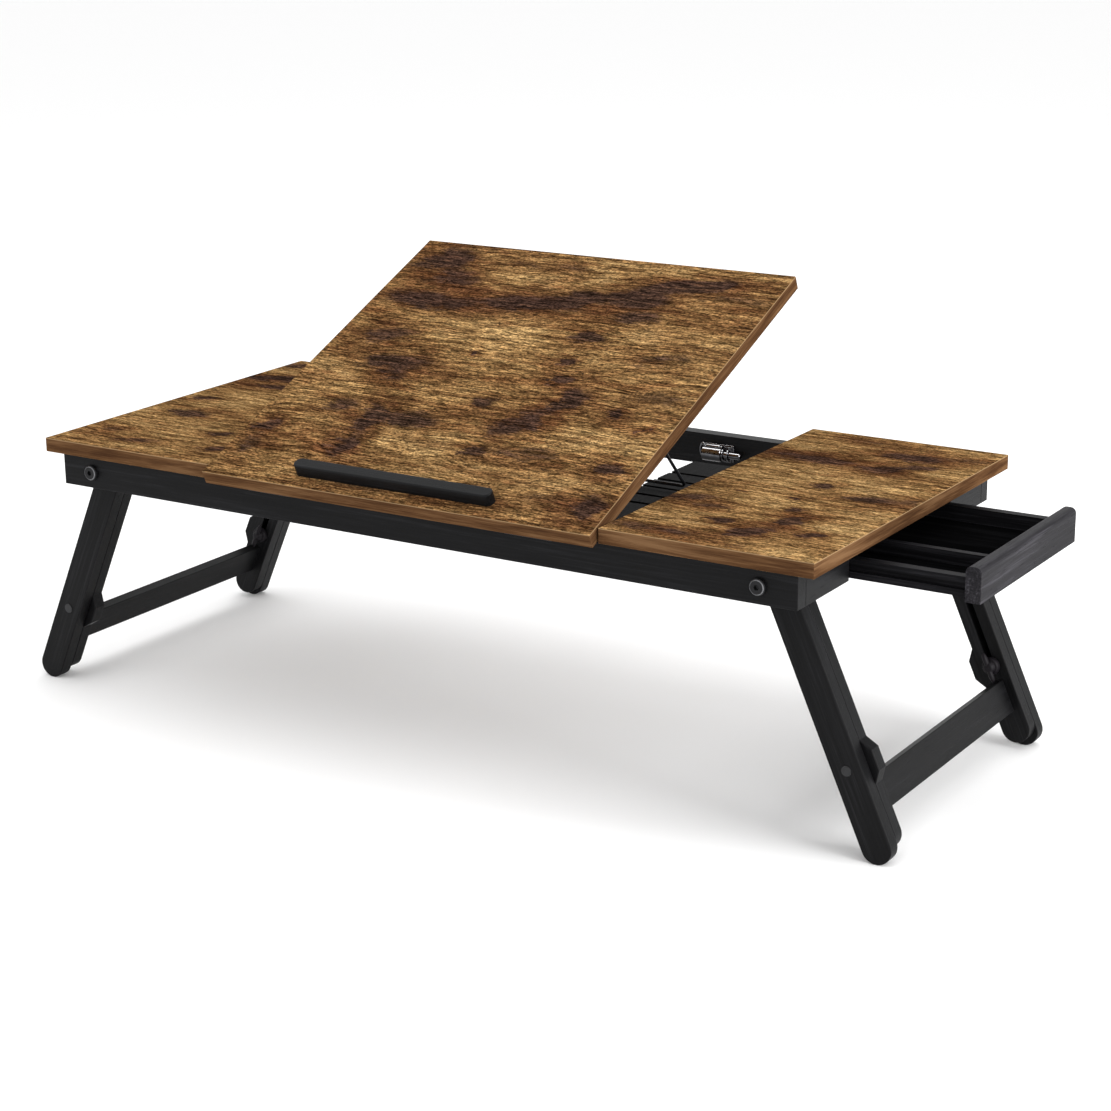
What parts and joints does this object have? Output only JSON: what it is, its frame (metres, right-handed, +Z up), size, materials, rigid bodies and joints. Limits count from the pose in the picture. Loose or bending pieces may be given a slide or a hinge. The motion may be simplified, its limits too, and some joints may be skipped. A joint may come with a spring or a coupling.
{
  "type": "laptop stand with drawer",
  "caption": "Folding laptop table: wood top with a tilting middle panel on a wire prop, an end drawer and folding, extending legs.",
  "frame": {"origin": "on the floor, below the middle of the part's box with the panel tilted and the drawer open as stored", "axes": "+X to the drawer end along the table's length, +Y from the user's edge to the back, +Z up"},
  "size_m": [0.8596, 0.359, 0.3644],
  "materials": {
    "top_wood": "rustic brown wood laminate, satin",
    "frame_wood": "black stained wood, satin",
    "drawer_wood": "black stained wood, satin",
    "ledge_wood": "black painted wood, satin",
    "knob_plastic": "black moulded plastic",
    "spacer_plastic": "black moulded plastic",
    "black_wire": "black lacquered steel wire",
    "hinge_steel": "black lacquered steel",
    "bolt_steel": "black oxide steel",
    "catch_chrome": "bright chrome"
  },
  "bodies": {
    "table": {"panel_left": "top_wood", "panel_right": "top_wood", "rail_front": "frame_wood", "rail_back": "frame_wood", "rail_end_left": "frame_wood", "rail_end_right_front": "frame_wood", "rail_end_right_back": "frame_wood", "hinge_leaf_frame_left": "hinge_steel", "hinge_leaf_frame_right": "hinge_steel", "hinge_pins": "hinge_steel", "hinge_screws_frame": "hinge_steel", "rack_left": "frame_wood", "rack_right": "frame_wood", "rack_batten_left": "frame_wood", "rack_batten_right": "frame_wood", "pivot_bolts": "bolt_steel", "leg_spacers": "spacer_plastic", "pivot_nuts": "bolt_steel", "drawer_runner_near": "frame_wood", "drawer_runner_far": "frame_wood", "catch_body_left": "catch_chrome", "catch_body_right": "catch_chrome", "catch_spring_left": "catch_chrome", "catch_spring_right": "catch_chrome", "catch_screw_left": "catch_chrome", "catch_screw_right": "catch_chrome"},
    "tilting_panel": {"panel_centre": "top_wood", "ledge": "ledge_wood", "hinge_leaf_panel_left": "hinge_steel", "hinge_leaf_panel_right": "hinge_steel", "hinge_screws_panel": "hinge_steel", "prop_clip_left": "black_wire", "prop_clip_right": "black_wire"},
    "prop": {"prop_wire": "black_wire"},
    "drawer": {"drawer_front": "drawer_wood", "drawer_side_near": "drawer_wood", "drawer_side_far": "drawer_wood", "drawer_back": "drawer_wood", "drawer_bottom": "drawer_wood", "drawer_divider": "drawer_wood"},
    "legs_left": {"leg_outer_left_front": "frame_wood", "leg_outer_left_back": "frame_wood", "clamp_bolts_left": "bolt_steel"},
    "extension_left": {"leg_inner_left_front": "frame_wood", "leg_inner_left_back": "frame_wood", "crossbar_left": "frame_wood"},
    "knob_left_front": {"wing_knob_left_front": "knob_plastic"},
    "knob_left_back": {"wing_knob_left_back": "knob_plastic"},
    "catch_bolt_left": {"catch_bolt_left": "catch_chrome"},
    "legs_right": {"leg_outer_right_front": "frame_wood", "leg_outer_right_back": "frame_wood", "clamp_bolts_right": "bolt_steel"},
    "extension_right": {"leg_inner_right_front": "frame_wood", "leg_inner_right_back": "frame_wood", "crossbar_right": "frame_wood"},
    "knob_right_front": {"wing_knob_right_front": "knob_plastic"},
    "knob_right_back": {"wing_knob_right_back": "knob_plastic"},
    "catch_bolt_right": {"catch_bolt_right": "catch_chrome"}
  },
  "joints": [
    {"name": "tilt", "type": "hinge", "parent": "table", "child": "tilting_panel", "pos_m": [-0.01839, -0.16806, 0.21455], "axis": [1, 0, 0], "range_deg": [-23.1, 7.4]},
    {"name": "prop_swing", "type": "hinge", "parent": "tilting_panel", "child": "prop", "pos_m": [-0.01839, -0.04529, 0.26827], "axis": [1, 0, 0], "range_deg": [-22.5, 70]},
    {"name": "drawer_slide", "type": "slide", "parent": "table", "child": "drawer", "axis": [1, 0, 0], "range_m": [-0.091, 0.07]},
    {"name": "fold_left", "type": "hinge", "parent": "table", "child": "legs_left", "pos_m": [-0.33239, 0.00454, 0.20384], "axis": [0, -1, 0], "range_deg": [0, 111]},
    {"name": "extend_left", "type": "slide", "parent": "legs_left", "child": "extension_left", "axis": [-0.4067, 0, -0.9135], "range_m": [0, 0.074]},
    {"name": "turn_knob_left_front", "type": "hinge", "parent": "legs_left", "child": "knob_left_front", "pos_m": [-0.393, -0.11726, 0.06773], "axis": [0, 1, 0], "range_deg": [-25, 25]},
    {"name": "turn_knob_left_back", "type": "hinge", "parent": "legs_left", "child": "knob_left_back", "pos_m": [-0.393, 0.12634, 0.06773], "axis": [0, 1, 0], "range_deg": [-25, 25]},
    {"name": "press_catch_left", "type": "slide", "parent": "table", "child": "catch_bolt_left", "axis": [1, 0, 0], "range_m": [0, 0.004], "stiffness_N_per_m": 400},
    {"name": "fold_right", "type": "hinge", "parent": "table", "child": "legs_right", "pos_m": [0.29561, 0.00454, 0.20384], "axis": [0, 1, 0], "range_deg": [0, 111]},
    {"name": "extend_right", "type": "slide", "parent": "legs_right", "child": "extension_right", "axis": [0.4067, 0, -0.9135], "range_m": [0, 0.074]},
    {"name": "turn_knob_right_front", "type": "hinge", "parent": "legs_right", "child": "knob_right_front", "pos_m": [0.35621, -0.11726, 0.06773], "axis": [0, 1, 0], "range_deg": [-25, 25]},
    {"name": "turn_knob_right_back", "type": "hinge", "parent": "legs_right", "child": "knob_right_back", "pos_m": [0.35621, 0.12634, 0.06773], "axis": [0, 1, 0], "range_deg": [-25, 25]},
    {"name": "press_catch_right", "type": "slide", "parent": "table", "child": "catch_bolt_right", "axis": [-1, 0, 0], "range_m": [0, 0.004], "stiffness_N_per_m": 400}
  ],
  "couplings": [
    {"joint": "prop_swing", "follows": "tilt", "ratio": -3.03}
  ]
}
